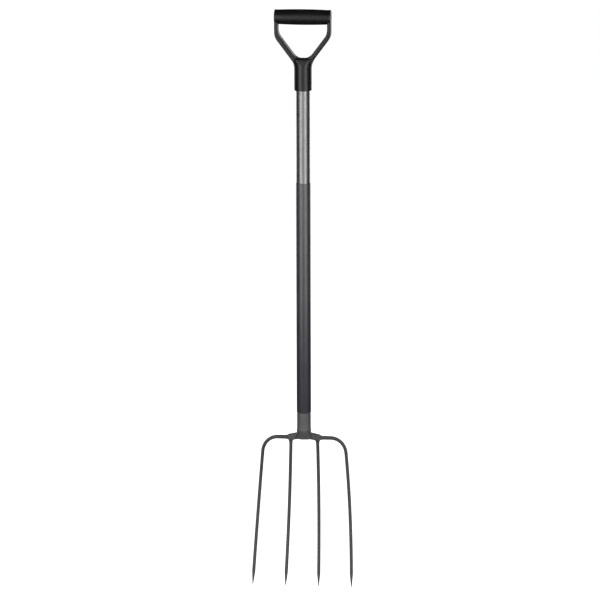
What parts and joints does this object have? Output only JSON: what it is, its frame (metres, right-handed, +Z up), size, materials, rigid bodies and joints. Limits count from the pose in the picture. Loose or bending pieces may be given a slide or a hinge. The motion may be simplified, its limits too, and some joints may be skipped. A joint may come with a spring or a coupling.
{
  "type": "digging fork",
  "caption": "Long garden fork: a D-shaped moulded handle, a tubular steel shaft with a plastic sleeve, and slim round tines that spread and curve forward from a lobed yoke.",
  "frame": {"origin": "on the shaft's axis, halfway up the plastic sleeve, where the lower hand or a rack clip holds the fork", "axes": "+Z up the shaft to the handle, -Y to the front, which the tine points curve towards, +X to the right seen from the front"},
  "size_m": [0.2242, 0.068, 1.2735],
  "materials": {
    "head_paint": "satin grey paint, fine texture, worn at the points and edges",
    "shaft_steel": "bright drawn tube with fine lengthwise lines",
    "sleeve_plastic": "semi-matte blue-grey plastic sleeve",
    "handle_plastic": "dark grey moulded plastic, fine spark texture",
    "grip_rubber": "near-black soft moulded grip",
    "pin_steel": "plain turned steel, ground flush",
    "screw_steel": "zinc plated"
  },
  "bodies": {
    "root": {"shoulder_yoke": "head_paint", "outer_tine_left": "head_paint", "outer_tine_right": "head_paint", "inner_tine_left": "head_paint", "inner_tine_right": "head_paint", "tine_welds": "head_paint", "neck_tube": "head_paint", "neck_weld": "head_paint", "neck_pins": "pin_steel", "shaft_tube": "shaft_steel", "shaft_sleeve": "sleeve_plastic", "handle_body": "handle_plastic", "handle_grip": "grip_rubber", "handle_screw": "screw_steel"}
  },
  "joints": []
}
